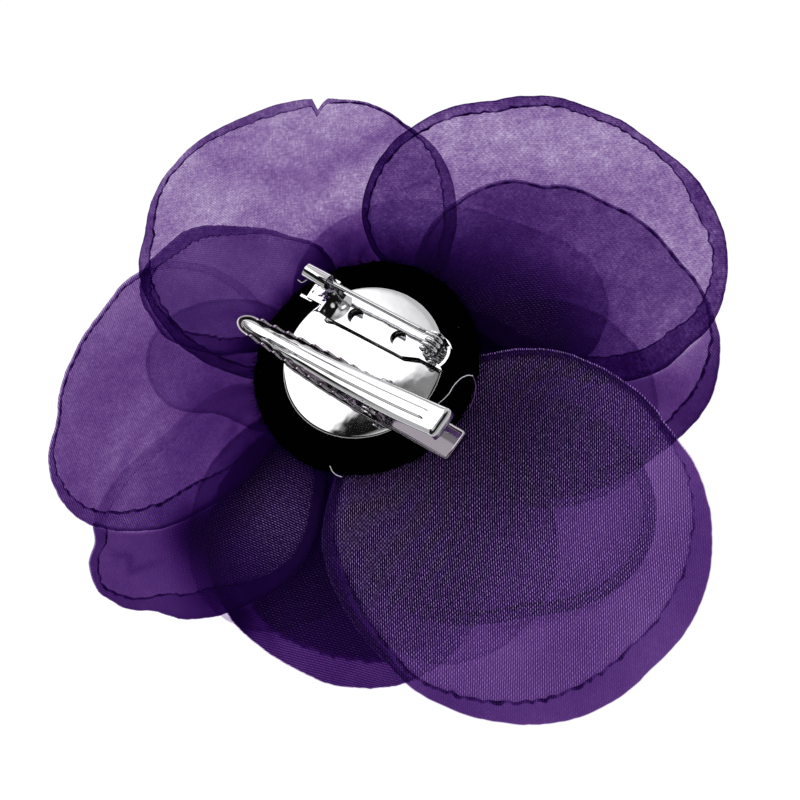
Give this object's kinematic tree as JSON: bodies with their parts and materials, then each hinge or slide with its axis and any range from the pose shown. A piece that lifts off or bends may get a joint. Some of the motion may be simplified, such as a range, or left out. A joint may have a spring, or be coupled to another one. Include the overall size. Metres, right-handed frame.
{
  "type": "flower brooch",
  "caption": "Sheer organza flower with curled rims, lying on its face, with a felt pad, a steel disc, a bar pin and a sprung hair clip on its back.",
  "frame": {"origin": "middle of the part's outline seen from above, on the surface that it lies on", "axes": "+Z out of the flower's back, +X along the bar pin from its catch to its hinge, +Y to the pin's side away from the hair clip"},
  "size_m": [0.1284, 0.1174, 0.0453],
  "materials": {
    "organza": "sheer purple organza with a fine sheen",
    "inner_organza": "sheer purple organza in several layers",
    "knot": "gathered dark purple organza, stitched",
    "felt": "black felt",
    "steel": "polished, nickel plated"
  },
  "bodies": {
    "flower": {"petal_right": "organza", "petal_upper_left": "organza", "petal_top_right": "organza", "petal_left": "organza", "petal_top": "organza", "petal_lower_left": "organza", "petal_far_right": "organza", "petal_bottom": "organza", "petal_under": "organza", "inner_petal_1": "inner_organza", "inner_petal_2": "inner_organza", "inner_petal_3": "inner_organza", "inner_petal_4": "inner_organza", "inner_petal_5": "inner_organza", "root_knot": "knot", "felt_pad": "felt", "base_disc": "steel", "pin_bar": "steel", "pin_rivet": "steel", "pin_coil": "steel", "clip_lower_jaw": "steel", "clip_axle": "steel", "clip_spring": "steel"},
    "needle": {"pin_needle": "steel"},
    "upper_jaw": {"clip_upper_jaw": "steel"}
  },
  "joints": [
    {"name": "needle_hinge", "type": "hinge", "parent": "flower", "child": "needle", "pos_m": [0.00381, 0.00382, 0.03844], "axis": [-0.9063, 0, 0.4226], "range_deg": [0, 180]},
    {"name": "clip_hinge", "type": "hinge", "parent": "flower", "child": "upper_jaw", "pos_m": [0.00351, -0.00976, 0.03746], "axis": [0.0349, 0.9994, 0], "range_deg": [0, 22], "stiffness_Nm_per_rad": 0.02, "springref_deg": -20.05}
  ]
}
